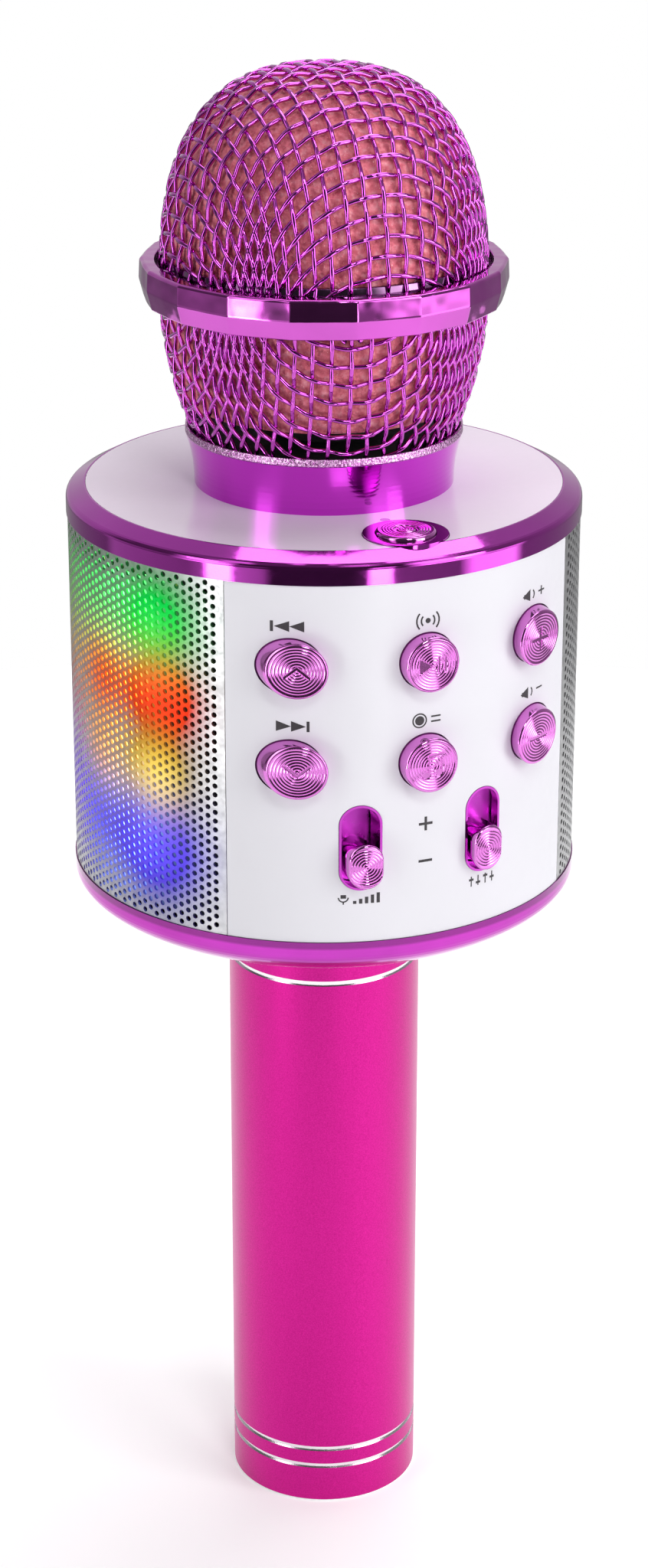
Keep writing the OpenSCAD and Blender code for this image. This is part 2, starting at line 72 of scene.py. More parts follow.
# ---------------------------------------------------------------- node helpers
class Shader:
    """A node material around one Principled shader, with short calls for the nodes that it uses."""

    def __init__(self, name, **values):
        self.material = bpy.data.materials.new(name)
        self.material.use_nodes = True
        self.tree = self.material.node_tree
        self.principled = self.tree.nodes["Principled BSDF"]
        self.set(**values)
        self.place = self.add("ShaderNodeTexCoord").outputs["Object"]

    def set(self, **values):
        for name, value in values.items():
            self.principled.inputs[name.replace("_", " ")].default_value = value

    def add(self, kind, **settings):
        node = self.tree.nodes.new(kind)
        for name, value in settings.items():
            setattr(node, name, value)
        return node

    def link(self, source, target):
        self.tree.links.new(source, target)

    def into(self, source, name):
        self.link(source, self.principled.inputs[name])

    def noise(self, scale, detail=2.0):
        node = self.add("ShaderNodeTexNoise")
        node.inputs["Scale"].default_value = scale
        node.inputs["Detail"].default_value = detail
        self.link(self.place, node.inputs["Vector"])
        return node.outputs["Fac"]

    def cells(self, scale):
        node = self.add("ShaderNodeTexVoronoi")
        node.inputs["Scale"].default_value = scale
        self.link(self.place, node.inputs["Vector"])
        return node.outputs["Distance"]

    def math(self, operation, a, b=0.0):
        node = self.add("ShaderNodeMath", operation=operation)
        for socket, value in zip(node.inputs, (a, b)):
            if isinstance(value, (int, float)):
                socket.default_value = value
            else:
                self.link(value, socket)
        return node.outputs[0]

    def ramp(self, source, *stops):
        node = self.add("ShaderNodeValToRGB")
        elements = node.color_ramp.elements
        while len(elements) < len(stops):
            elements.new(0.5)
        for element, (position, colour) in zip(elements, stops):
            element.position = position
            element.color = (*colour, 1)
        self.link(source, node.inputs["Fac"])
        return node.outputs["Color"]

    def level(self, source, low, high, out_low=0.0, out_high=1.0):
        node = self.add("ShaderNodeMapRange")
        for socket, value in zip(node.inputs[1:5], (low, high, out_low, out_high)):
            socket.default_value = value
        self.link(source, node.inputs["Value"])
        return node.outputs["Result"]

    def mix_colour(self, factor, a, b):
        node = self.add("ShaderNodeMixRGB")
        self.link(factor, node.inputs["Fac"])
        for socket, value in zip((node.inputs["Color1"], node.inputs["Color2"]), (a, b)):
            if isinstance(value, tuple):
                socket.default_value = (*value, 1)
            else:
                self.link(value, socket)
        return node.outputs["Color"]

    def bump(self, height, distance):
        node = self.add("ShaderNodeBump")
        node.inputs["Distance"].default_value = distance
        self.link(height, node.inputs["Height"])
        self.into(node.outputs["Normal"], "Normal")

    def axes(self):
        node = self.add("ShaderNodeSeparateXYZ")
        self.link(self.place, node.inputs[0])
        return node.outputs


def shade(colour, factor):
    return tuple(min(1.0, c * factor) for c in colour)


# ---------------------------------------------------------------- materials
MAGENTA = (0.53, 0.055, 0.52)
DEEP_MAGENTA = (0.56, 0.06, 0.54)
RING_MAGENTA = (0.60, 0.10, 0.56)
COLLAR_MAGENTA = (0.64, 0.045, 0.66)
# painted shade: the bowl's plating is a darker copy of the magenta chrome
SHADED_SHELL_MAGENTA = (0.50, 0.04, 0.46)
# painted light: a paler copy of the magenta chrome for the keys and knobs
LIT_KEY_MAGENTA = (0.70, 0.20, 0.66)
# painted shade for the step of the bowl under the panels
PAINTED_SHADE_MAGENTA = (0.27, 0.025, 0.25)
BARE_METAL = (0.86, 0.84, 0.87)


def plated(name, colour, roughness=0.07, peel=0.000004, coat=0.35):
    """Tinted plating: faint drift of the tint, small changes of gloss and soft orange peel."""
    s = Shader(name, Metallic=1.0, Coat_Weight=coat, Coat_Roughness=0.03)
    s.into(s.ramp(s.noise(60, 3), (0.3, shade(colour, 0.9)), (0.7, shade(colour, 1.08))), "Base Color")
    s.into(s.level(s.noise(900, 4), 0.3, 0.7, roughness * 0.7, roughness * 1.4), "Roughness")
    s.bump(s.noise(420, 2), peel)
    return s


def gloss_plastic(name, colour, roughness, coat=0.35):
    """Moulded plastic: a trace of mottle in the colour and a very soft ripple."""
    s = Shader(name, Coat_Weight=coat, Coat_Roughness=0.05)
    s.into(s.ramp(s.noise(45, 3), (0.3, shade(colour, 0.985)), (0.7, shade(colour, 1.01))),
           "Base Color")
    s.into(s.level(s.noise(700, 3), 0.3, 0.7, roughness * 0.8, roughness * 1.25), "Roughness")
    s.bump(s.noise(160, 2), 0.000008)
    return s


def matte(name, colour, roughness=0.55, grain=2500, depth=0.00003, metallic=0.0):
    """Grained surface for boards, dark plastic, paper, rubber and painted metal."""
    s = Shader(name, Metallic=metallic)
    s.into(s.ramp(s.noise(260, 4), (0.3, shade(colour, 0.82)), (0.7, shade(colour, 1.15))),
           "Base Color")
    rougher = min(1, roughness * 1.2)
    s.into(s.level(s.noise(grain * 0.6, 3), 0.3, 0.7, roughness * 0.85, rougher), "Roughness")
    s.bump(s.noise(grain, 3), depth)
    return s


def satin_grip():
    """Sand-blasted anodised tube; the turned grooves and both chamfers are bare bright metal."""
    s = Shader("satin_grip", Metallic=1.0, Coat_Weight=0.22, Coat_Roughness=0.22)
    out = s.axes()
    radius = s.math("SQRT", s.math("ADD", s.math("MULTIPLY", out["X"], out["X"]),
                                   s.math("MULTIPLY", out["Y"], out["Y"])))
    bare = s.level(radius, (GRIP_R - 0.06) * MM, (GRIP_R - 0.02) * MM, 1.0, 0.0)
    dye = s.ramp(s.noise(5200, 2), (0.25, (0.49, 0.003, 0.208)), (0.75, (0.67, 0.012, 0.305)))
    s.into(s.mix_colour(bare, dye, BARE_METAL), "Base Color")
    s.into(s.level(bare, 0.0, 1.0, 0.35, 0.16), "Roughness")
    s.bump(s.noise(6500, 3), 0.000012)
    return s


def rimmed_chrome():
    """Collar plating, with a cast, sparkling rim round the top edge."""
    smooth = 0.09
    s = plated("collar_plating", COLLAR_MAGENTA, smooth)
    rim = s.level(s.axes()["Z"], (COLLAR_TOP - 1.25) * MM, (COLLAR_TOP - 1.05) * MM)
    s.into(s.level(rim, 0.0, 1.0, smooth, 0.24), "Roughness")
    sparkle = s.ramp(s.noise(3000, 4), (0.35, (0.45, 0.10, 0.42)), (0.65, (0.95, 0.62, 0.92)))
    s.into(s.mix_colour(rim, COLLAR_MAGENTA, sparkle), "Base Color")
    s.bump(s.math("MULTIPLY", rim, s.noise(2400, 3)), 0.00025)
    return s


def cast_chrome():
    """Plating over a casting that isn't quite flat, so its reflections waver."""
    s = plated("cast_plating", RING_MAGENTA, 0.08)
    s.bump(s.noise(210, 1), 0.00022)
    return s


def shell_chrome_painted_shade():
    """Bowl plating in a darker copy of the magenta chrome, painted shade; the step under the panels is
    darker still, more painted shade.
    """
    # painted shade: a darker copy of the magenta chrome
    s = plated("shell_plating", SHADED_SHELL_MAGENTA, 0.12)
    # painted shade: the step under the panels goes over to a dark tint
    painted_shade_lip = s.level(s.axes()["Z"], (SHELL_TOP - 1.3) * MM, (SHELL_TOP - 0.9) * MM)
    tint = s.ramp(s.noise(60, 3), (0.3, shade(SHADED_SHELL_MAGENTA, 0.9)), (0.7, shade(SHADED_SHELL_MAGENTA, 1.1)))
    s.into(s.mix_colour(painted_shade_lip, tint, PAINTED_SHADE_MAGENTA), "Base Color")
    return s


def foam():
    """Open-cell coral foam with dark pores; pale flecks in its colour are painted glints of the cell walls.
    """
    s = Shader("coral_foam", Roughness=0.75, Sheen_Weight=0.3, Sheen_Roughness=0.4)
    pores = s.cells(1500)
    body = s.ramp(s.noise(900, 5), (0.28, (0.55, 0.085, 0.125)), (0.52, (0.80, 0.195, 0.25)),
                  (0.75, (0.94, 0.40, 0.45)))
    # painted glints: pale flecks mixed into the foam's colour
    sparkle = s.level(s.noise(4200, 2), 0.68, 0.74)
    s.into(s.mix_colour(sparkle, body, (1.0, 0.74, 0.70)), "Base Color")
    s.bump(pores, 0.0003)
    return s


# strength of the painted glow of the strips' light on the left grille's metal
METAL_GLOW = 0.36
SCRIM_GLOW = 4.5
# Light of the strips on the left side, as soft spots: turn from the grille's middle towards the
# front in degrees, height in mm, colour, reach in mm and strength
LIT_HOLES = (
    (13, 168.5, (0.16, 1.0, 0.26), 8.0, 1.0), (12, 156.5, (1.0, 0.20, 0.01), 6.8, 1.1),
    (11, 144.0, (1.0, 0.68, 0.10), 6.3, 1.0), (12, 130.0, (0.22, 0.34, 1.0), 8.5, 1.0),
    (-8, 169.0, (0.05, 0.8, 0.08), 9.5, 1.2), (-6, 157.0, (1.0, 0.36, 0.04), 7.0, 1.0),
    (-8, 147.0, (0.85, 0.14, 0.30), 6.5, 0.8), (-9, 133.0, (0.20, 0.07, 1.0), 10.0, 1.4),
    (-32, 161.0, (0.5, 0.35, 0.05), 9.0, 0.6), (-32, 141.0, (0.42, 0.06, 0.7), 10.0, 0.8),
)
# Painted light of the strips on the metal round the holes, listed the same way
LIT_METAL = (
    (29, 168.0, (0.0, 0.62, 0.07), 7.8, 1.1), (30, 155.8, (0.92, 0.01, 0.01), 6.6, 1.1),
    (28, 142.6, (0.74, 0.56, 0.01), 6.2, 1.1), (28, 130.5, (0.10, 0.06, 0.70), 9.5, 1.1),
    (10, 168.0, (0.0, 0.42, 0.05), 8.5, 0.6), (11, 156.5, (0.80, 0.05, 0.01), 7.0, 0.6),
    (9, 143.5, (0.60, 0.26, 0.04), 6.0, 0.5), (7, 131.0, (0.10, 0.06, 0.60), 8.5, 0.6),
    (-14, 166.0, (0.06, 0.26, 0.03), 9.0, 0.5), (-12, 151.0, (0.36, 0.09, 0.05), 8.0, 0.45),
    (-14, 135.0, (0.16, 0.04, 0.42), 9.5, 0.6),
)


def lit_by(s, spots):
    """Colour of the light at each place on the left side, as a sum of soft spots."""
    total = None
    for angle, height, colour, reach, strength in spots:
        around = math.radians(180 + angle)
        away = s.add("ShaderNodeVectorMath", operation="DISTANCE")
        s.link(s.place, away.inputs[0])
        away.inputs[1].default_value = (DRUM_R * math.cos(around) * MM, DRUM_R * math.sin(around) * MM,
                                        height * MM)
        near = s.math("DIVIDE", away.outputs["Value"], reach * MM)
        fall = s.math("EXPONENT", s.math("MULTIPLY", s.math("MULTIPLY", near, near), -1.0))
        tint = s.add("ShaderNodeVectorMath", operation="SCALE")
        tint.inputs[0].default_value = colour
        s.link(s.math("MULTIPLY", fall, strength), tint.inputs["Scale"])
        if total is None:
            total = tint.outputs["Vector"]
        else:
            join = s.add("ShaderNodeVectorMath", operation="ADD")
            s.link(total, join.inputs[0])
            s.link(tint.outputs["Vector"], join.inputs[1])
            total = join.outputs["Vector"]
    return total


def grille_metal(name, lit):
    """Perforated sheet; near the light strips their light on the metal is painted: its colour goes over to
    the strips' colours and it glows.
    """
    s = Shader(name, Metallic=1.0)
    base = s.ramp(s.noise(700, 3), (0.3, (0.40, 0.40, 0.41)), (0.7, (0.55, 0.55, 0.56)))
    s.into(s.level(s.noise(1800, 3), 0.3, 0.7, 0.30, 0.45), "Roughness")
    s.bump(s.noise(2600, 2), 0.00001)
    if lit:
        light = lit_by(s, LIT_METAL)
        length = s.add("ShaderNodeVectorMath", operation="LENGTH")
        s.link(light, length.inputs[0])
        # painted light: the metal's colour goes over to the colour of the strips' light, which it also gives
        # off as a glow
        base = s.mix_colour(s.level(length.outputs["Value"], 0.02, 0.55), base, light)
        s.into(light, "Emission Color")
        s.set(Emission_Strength=METAL_GLOW)
    s.into(base, "Base Color")
    return s


def scrim_cloth(name, lit):
    """Dark cloth behind the grilles; lit cloth glows with the strips' colours."""
    s = Shader(name, Roughness=0.9)
    s.into(s.ramp(s.noise(2200, 3), (0.3, (0.012, 0.012, 0.013)), (0.7, (0.03, 0.03, 0.032))),
           "Base Color")
    s.bump(s.noise(3000, 2), 0.00005)
    if lit:
        s.into(lit_by(s, LIT_HOLES), "Emission Color")
        s.set(Emission_Strength=SCRIM_GLOW)
    return s


chrome = plated("magenta_chrome", MAGENTA)
# keys and knobs: a paler copy of the magenta chrome, painted light
key_chrome_painted_light = plated("key_plating", LIT_KEY_MAGENTA, 0.1)
carrier_chrome = plated("carrier_plating", MAGENTA, 0.32, coat=0.1)
wire_chrome = plated("mesh_plating", DEEP_MAGENTA, 0.07, 0.00001, 1.0)
# crimped bands inside the head ring: a dark copy of the mesh plating, painted shade
band_chrome_painted_shade = plated("band_plating", (0.20, 0.09, 0.20), 0.15)
panel_white = gloss_plastic("panel_white", (0.68, 0.67, 0.715), 0.42, 0.05)
# The top disc is the same white plastic as the panel; its lilac tint is a painted reflection of the magenta
# collar, and its lighter tone is painted light.
disc_white = gloss_plastic("disc_white", (0.84, 0.74, 0.86), 0.17)
print_ink = matte("print_ink", (0.035, 0.03, 0.035), 0.6)

SLOT_LOOKS = {
    "satin_magenta_aluminium": satin_grip(),
    "magenta_chrome": chrome,
    "magenta_mesh": wire_chrome,
    "white_gloss_plastic": panel_white,
    "dark_plastic": matte("dark_plastic", (0.02, 0.02, 0.022)),
    "battery_wrap": gloss_plastic("battery_wrap", (0.05, 0.14, 0.55), 0.3),
    "contact_brass": matte("contact_brass", (0.70, 0.48, 0.20), 0.25, metallic=1.0),
    "screw_steel": matte("screw_steel", (0.55, 0.55, 0.57), 0.28, metallic=1.0),
    "silver_grille": grille_metal("silver_grille", False),
    "scrim_cloth": scrim_cloth("scrim_dark", False),
    "speaker_steel": matte("speaker_paint", (0.015, 0.015, 0.016), 0.4),
    "speaker_paper": matte("speaker_paper", (0.03, 0.03, 0.032), 0.85, 1200, 0.0001),
    "magnet_steel": matte("magnet_steel", (0.5, 0.5, 0.52), 0.3, metallic=1.0),
    "led_white": gloss_plastic("led_white", (0.75, 0.75, 0.75), 0.3),
    "board_green": matte("board_green", (0.01, 0.10, 0.04), 0.35),
    "clear_lens": gloss_plastic("clear_lens", (0.34, 0.26, 0.36), 0.08),
    "coral_foam": foam(),
    "soft_rubber": matte("soft_rubber", (0.018, 0.018, 0.018), 0.8),
}
NODE_LOOKS = {
    "top_disc": disc_white,
    "collar": rimmed_chrome(),
    "lower_shell": shell_chrome_painted_shade(),
    "left_scrim": scrim_cloth("scrim_lit", True),
}
node_slots = {row["node"]: row["material_slot"] for row in frame["record"]["subparts"]}
for node, part in frame["nodes"].items():
    look = NODE_LOOKS.get(node) or SLOT_LOOKS[node_slots[node]]
    part.data.materials.clear()
    part.data.materials.append(look.material)


# ---------------------------------------------------------------- mesh helpers
def piece(name, points, faces, look, body=ROOT, slot=None, stands_for=(), smooth=True):
    """A mesh in mm becomes a piece in metres that rides on a body."""
    mesh = bpy.data.meshes.new(name)
    mesh.from_pydata((np.asarray(points, float) * MM).tolist(), [], faces)
    mesh.polygons.foreach_set("use_smooth", [smooth] * len(mesh.polygons))
    mesh.materials.append(look.material)
    mesh.update()
    made = bpy.data.objects.new(name, mesh)
    bpy.context.scene.collection.objects.link(made)
    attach(made, body)
    if stands_for:
        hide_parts(*stands_for)
    return made


def grid_faces(rows, columns, start=0):
    """Quads between rings of points, with the last column joined to the first."""
    faces = []
    for i in range(rows - 1):
        for j in range(columns):
            k = (j + 1) % columns
            a, b = start + i * columns, start + (i + 1) * columns
            faces.append((a + j, a + k, b + k, b + j))
    return faces


def hoop_faces(rows, columns):
    """Quads of a closed hoop: the last row of points joins the first as well."""
    last = (rows - 1) * columns
    seam = [(last + j, last + (j + 1) % columns, (j + 1) % columns, j) for j in range(columns)]
    return grid_faces(rows, columns) + seam


def capped_faces(rows, columns):
    """Quads between rings of points, closed at both ends."""
    last = (rows - 1) * columns
    ends = [tuple(range(columns))[::-1], tuple(last + k for k in range(columns))]
    return grid_faces(rows, columns) + ends


def modifier(made, kind, **settings):
    added = made.modifiers.new(kind.lower(), kind)
    for name, value in settings.items():
        setattr(added, name, value)


def turned(name, outline, look, **options):
    """A closed outline of (radius, height) turned about the axis."""
    columns = 160
    points = []
    for r, z in outline:
        for k in range(columns):
            a = 2 * math.pi * k / columns
            points.append((r * math.cos(a), r * math.sin(a), z))
    piece(name, points, hoop_faces(len(outline), columns), look, **options)


def bezier(a, b, c, d, steps):
    a, b, c, d = (np.array(p, float) for p in (a, b, c, d))
    curve = []
    for k in range(steps + 1):
        t = k / steps
        u = 1 - t
        curve.append(tuple(u ** 3 * a + 3 * u * u * t * b + 3 * u * t * t * c + t ** 3 * d))
    return curve


# ---------------------------------------------------------------- woven mesh of the head
WIRE_R = 0.36
# swing of a wire to either side of the middle of the cloth
CRIMP = 0.29
# distance between two neighbouring knots
PITCH = 3.0
# height above the middle of the cloth where the wires are pressed flat
CREST = 0.5
WIRE_SIDES = 8
WIRE_STEPS = 6
# depth of the middle of the cloth below the outside of the mesh
MID = WIRE_R + CRIMP + 0.01
DOME_TOP = MESH_HIGH.z
DOME_LOW = 211.0
DOME_POWER = 2.66
# the two crimped bands meet inside the head ring
BAND_MEET = MESH_LOW.z
BAND_HIGH = 218.2
BAND_LOW = 209.6
BAND_T = 0.5
BOWL_START_Z = 191.0
BOWL_START_R = 21.75
BOWL_TURN = math.radians(-13)


class Profile:
    """A surface of revolution by arc length from its pole: (s cos a, s sin a) maps to a point."""

    def __init__(self, outline):
        outline = np.asarray(outline, float)
        lengths = np.hypot(*np.diff(outline, axis=0).T)
        self.s = np.concatenate([[0], np.cumsum(lengths)])
        self.r, self.z = outline.T

    def at(self, flat):
        flat = np.asarray(flat, float)
        s = np.hypot(flat[..., 0], flat[..., 1])
        around = np.arctan2(flat[..., 1], flat[..., 0])
        r = np.interp(s, self.s, self.r)
        return np.stack([r * np.cos(around), r * np.sin(around), np.interp(s, self.s, self.z)], -1)

    def normal(self, flat):
        u, v = (self.at(flat + step) - self.at(flat - step) for step in np.eye(2) * 0.05)
        n = np.cross(u, v)
        return n / np.maximum(np.linalg.norm(n, axis=-1, keepdims=True), 1e-9)


def fishnet(profile, turn, reach):
    """Square cloth laid over the surface from its pole: knots keep one pitch to both neighbours."""
    count = int(profile.s[-1] / PITCH) + 1
    knots = {(0, 0): np.zeros(2)}
    for n in range(1, count + 1):
        for quarter, (i, j) in enumerate([(n, 0), (0, n), (-n, 0), (0, -n)]):
            angle = turn + quarter * math.pi / 2
            knots[(i, j)] = n * PITCH * np.array([math.cos(angle), math.sin(angle)])
    for si, sj in ((1, 1), (-1, 1), (-1, -1), (1, -1)):
        for i in range(1, count + 1):
            for j in range(1, count + 1):
                a = knots.get((si * (i - 1), sj * j))
                b = knots.get((si * i, sj * (j - 1)))
                c = knots.get((si * (i - 1), sj * (j - 1)))
                if a is None or b is None or c is None:
                    continue
                found = knot_between(profile, a, b, a + b - c)
                if found is not None and np.hypot(*found) < reach:
                    knots[(si * i, sj * j)] = found
    return knots


def knot_between(profile, a, b, guess):
    """The place one pitch from both a and b that lies near the guess, or None."""
    targets = [profile.at(a), profile.at(b)]

    def miss(x):
        p = profile.at(x)
        return np.array([np.linalg.norm(p - t) - PITCH for t in targets])

    x = np.array(guess, float)
    step = 1e-3
    for _ in range(12):
        m = miss(x)
        if np.abs(m).max() < 1e-4:
            return x
        slope = np.stack([(miss(x + d) - m) / step for d in np.eye(2) * step], 1)
        if abs(np.linalg.det(slope)) < 1e-6:
            return None
        move = np.linalg.solve(slope, m)
        x = x - move * min(1.0, 1.5 / max(np.linalg.norm(move), 1e-9))
    return x if np.abs(miss(x)).max() < 0.05 else None


def smooth_path(points, steps):
    """Catmull-Rom through points, with steps samples a span; returns samples and their span place."""
    p = np.vstack([2 * points[0] - points[1], points, 2 * points[-1] - points[-2]])
    out, place = [], []
    for k in range(len(points) - 1):
        p0, p1, p2, p3 = p[k:k + 4]
        for q in range(steps):
            t = q / steps
            out.append(0.5 * (2 * p1 + (p2 - p0) * t + (2 * p0 - 5 * p1 + 4 * p2 - p3) * t ** 2
                              + (3 * p1 - p0 - 3 * p2 + p3) * t ** 3))
            place.append(k + t)
    out.append(points[-1])
    place.append(len(points) - 1)
    return np.array(out), np.array(place)


def tube(centres, normals, heights, points, faces):
    """Adds a round wire along centres, pressed flat where it stands proud of the cloth."""
    along = np.gradient(centres, axis=0)
    along /= np.maximum(np.linalg.norm(along, axis=1, keepdims=True), 1e-9)
    side = np.cross(along, normals)
    side /= np.maximum(np.linalg.norm(side, axis=1, keepdims=True), 1e-9)
    up = np.cross(side, along)
    start = len(points)
    last = start + (len(centres) - 1) * WIRE_SIDES
    for c, n, s, u, height in zip(centres, normals, side, up, heights):
        for k in range(WIRE_SIDES):
            a = 2 * math.pi * k / WIRE_SIDES
            proud = max(0.0, height + WIRE_R * math.cos(a) - CREST)
            points.append(c + WIRE_R * (math.cos(a) * u + math.sin(a) * s) - proud * n)
    faces += grid_faces(len(centres), WIRE_SIDES, start)
    faces.append(tuple(start + k for k in range(WIRE_SIDES)))
    faces.append(tuple(last + k for k in reversed(range(WIRE_SIDES))))


def woven(name, outline, turn, s_low, s_high, flip, node):
    """Two families of crimped wires that pass over and under each other on the surface."""
    profile = Profile(outline)
    knots = fishnet(profile, turn, s_high + 3 * PITCH)
    count = max(max(abs(i), abs(j)) for i, j in knots)
    points, faces = [], []
    for family in (0, 1):
        for fixed in range(-count, count + 1):
            run = []
            for free in range(-count, count + 1):
                key = (fixed, free) if family == 0 else (free, fixed)
                if key in knots:
                    run.append((free, knots[key]))
            if len(run) < 3:
                continue
            flat, place = smooth_path(np.array([k for _, k in run]), WIRE_STEPS)
            place = place + run[0][0]
            weave = np.cos(math.pi * (place + fixed)) * (1 if family == 0 else -1)
            normals = profile.normal(flat) * flip
            centres = profile.at(flat) + normals * (weave * CRIMP)[:, None]
            s = np.hypot(flat[:, 0], flat[:, 1])
            inside = (s >= s_low) & (s <= s_high)
            edges = np.flatnonzero(np.diff(np.concatenate([[0], inside.astype(int), [0]])))
            for first, end in zip(edges[::2], edges[1::2]):
                if end - first > 3:
                    tube(centres[first:end], normals[first:end], CRIMP * weave[first:end], points,
                         faces)
    piece(name, points, faces, wire_chrome, slot="magenta_mesh", stands_for=[node])


def dome_outline(inward, low, steps=240):
    """Superellipse from the pole down to a height, some way inside the mesh."""
    rise = DOME_TOP - DOME_LOW - inward
    first = math.asin(min(1, max(0, (low - DOME_LOW) / rise) ** (DOME_POWER / 2)))
    out = []
    for k in range(steps + 1):
        a = math.pi / 2 - (math.pi / 2 - first) * (k / steps) ** 1.3
        out.append(((MESH_R - inward) * math.cos(a) ** (2 / DOME_POWER) if k else 0.0,
                    DOME_LOW + rise * math.sin(a) ** (2 / DOME_POWER)))
    return out


def bowl_outline(inward):
    """Lower mesh from a pole hidden in the drum, through the collar, up to the band."""
    pole_z = 177.5
    hidden = bezier((0, pole_z), (10, pole_z), (17.5 - inward, 182.5), (20.7 - inward, 188.6), 60)
    seen = bezier((BOWL_START_R - inward, BOWL_START_Z),
                  (BOWL_START_R + 3.25 - inward, BOWL_START_Z + 7.2),
                  (MESH_R - inward, BAND_LOW - 2), (MESH_R - inward, BAND_LOW), 120)
    return hidden + seen + [(MESH_R - inward, BAND_LOW + 3)]


def reach_to_height(outline, height, rising):
    """Arc length from the pole to a height."""
    profile = Profile(outline)
    order = profile.z if rising else -profile.z
    return float(np.interp(height if rising else -height, order, profile.s))


def mesh_band(name, radius, low, high):
    """Crimped strip round the edge of the cloth."""
    ease = 0.15
    outline = [(radius - ease, low), (radius, low + ease), (radius, high - ease), (radius - ease, high),
               (radius - BAND_T, high), (radius - BAND_T, low)]
    turned(name, outline, band_chrome_painted_shade, slot="magenta_mesh")


dome = dome_outline(MID, BAND_MEET)
bowl = bowl_outline(MID)
woven("woven_dome", dome, 0.0, 0.0, reach_to_height(dome, BAND_HIGH - 3, False), 1, "upper_mesh")
woven("woven_bowl", bowl, BOWL_TURN, reach_to_height(bowl, BOWL_LOW.z + 0.2, True),
      reach_to_height(bowl, BAND_LOW + 2, True), -1, "lower_mesh")
mesh_band("lower_mesh_band", BOWL_HIGH.x, BAND_LOW + 1.2, BAND_MEET - 0.1)
mesh_band("upper_mesh_band", MESH_R - 1.0, BAND_MEET, BAND_HIGH - 0.3)


# ---------------------------------------------------------------- faceted head ring
def faceted_ring():
    """Ring of flat sides, each a little crowned; the bore is round."""
    sides = 18
    per_side = 8
    # share of the way from the flat side out to the full circle at the middle of a side
    crown = 0.35
    columns = sides * per_side
    # one side faces 22.5 degrees to the left of the front
    first = math.radians(-90 - 22.5 + 180 / sides)
    corner_r = RING_HIGH.x
    bore = MESH_R + 0.4
    low, high = RING_LOW.z, RING_HIGH.z
    levels = [(bore, low, False), (corner_r - 0.8, low, True), (corner_r, low + 3.0, True),
              (corner_r - 0.15, high - 0.3, True), (corner_r - 0.5, high, True), (bore, high, False)]
    points = []
    for r, z, flat in levels:
        for k in range(columns):
            a = 2 * math.pi * k / columns
            within = (a + 1e-9) % (2 * math.pi / sides) - math.pi / sides
            straight = r * math.cos(math.pi / sides) / math.cos(within)
            reach = straight + (r - straight) * crown * math.cos(within * sides / 2) if flat else r
            points.append((reach * math.cos(first + a), reach * math.sin(first + a), z))
    made = piece("faceted_ring", points, hoop_faces(len(levels), columns), cast_chrome(),
                 slot="magenta_chrome", stands_for=["head_ring"])
    modifier(made, "BEVEL", width=0.22 * MM, segments=3, limit_method="ANGLE",
             angle_limit=math.radians(8), harden_normals=True)


faceted_ring()


# ---------------------------------------------------------------- foam liner
def foam_bell():
    """Bell of foam just inside the mesh, with an uneven skin."""
    gap = 1.5
    wall = 5.5
    # the inside also lies lower: by nothing at the first height, by a full wall at the second
    crown_low, crown_high = 225, 245
    columns = 220
    grain = 0.16
    start_r = BOWL_START_R - gap
    outer = [(start_r + 0.9, FOAM_LOW.z + 0.4)]
    outer += bezier((start_r + 1.0, FOAM_LOW.z + 0.6), (23.2, 199), (24.3, 204), (MESH_R - gap, 210), 24)
    outer += reversed(dome_outline(gap, 211.5, 90))
    inner = []
    for r, z in reversed(outer):
        below = wall * min(1, max(0, (z - crown_low) / (crown_high - crown_low)))
        inner.append((max(0.0, r - wall), z - below))
    points = []
    for outline, rough in ((outer, grain), (inner, 0.0)):
        for r, z in outline:
            for k in range(columns):
                a = 2 * math.pi * k / columns
                spot = Vector((r * math.cos(a), r * math.sin(a), z))
                push = rough * noise.noise(spot * 1.9) + rough * 0.6 * noise.noise(spot * 4.1)
                points.append(tuple(spot + Vector((math.cos(a), math.sin(a), 0.3)) * push))
    made = piece("foam_bell", points, hoop_faces(len(outer) + len(inner), columns),
                 SLOT_LOOKS["coral_foam"], slot="coral_foam", stands_for=["foam_liner"])


foam_bell()


# ---------------------------------------------------------------- perforated grilles
HOLE_R = 0.44
HOLE_SIDES = 16
HOLE_ROWS = 40
HOLE_COLUMNS = 50
SHEET_T = 0.38
PLAIN_EDGE = 1.15
# half of the angle that a grille covers, less a fine gap to the panels
GRILLE_HALF = math.radians(46 - 0.15)


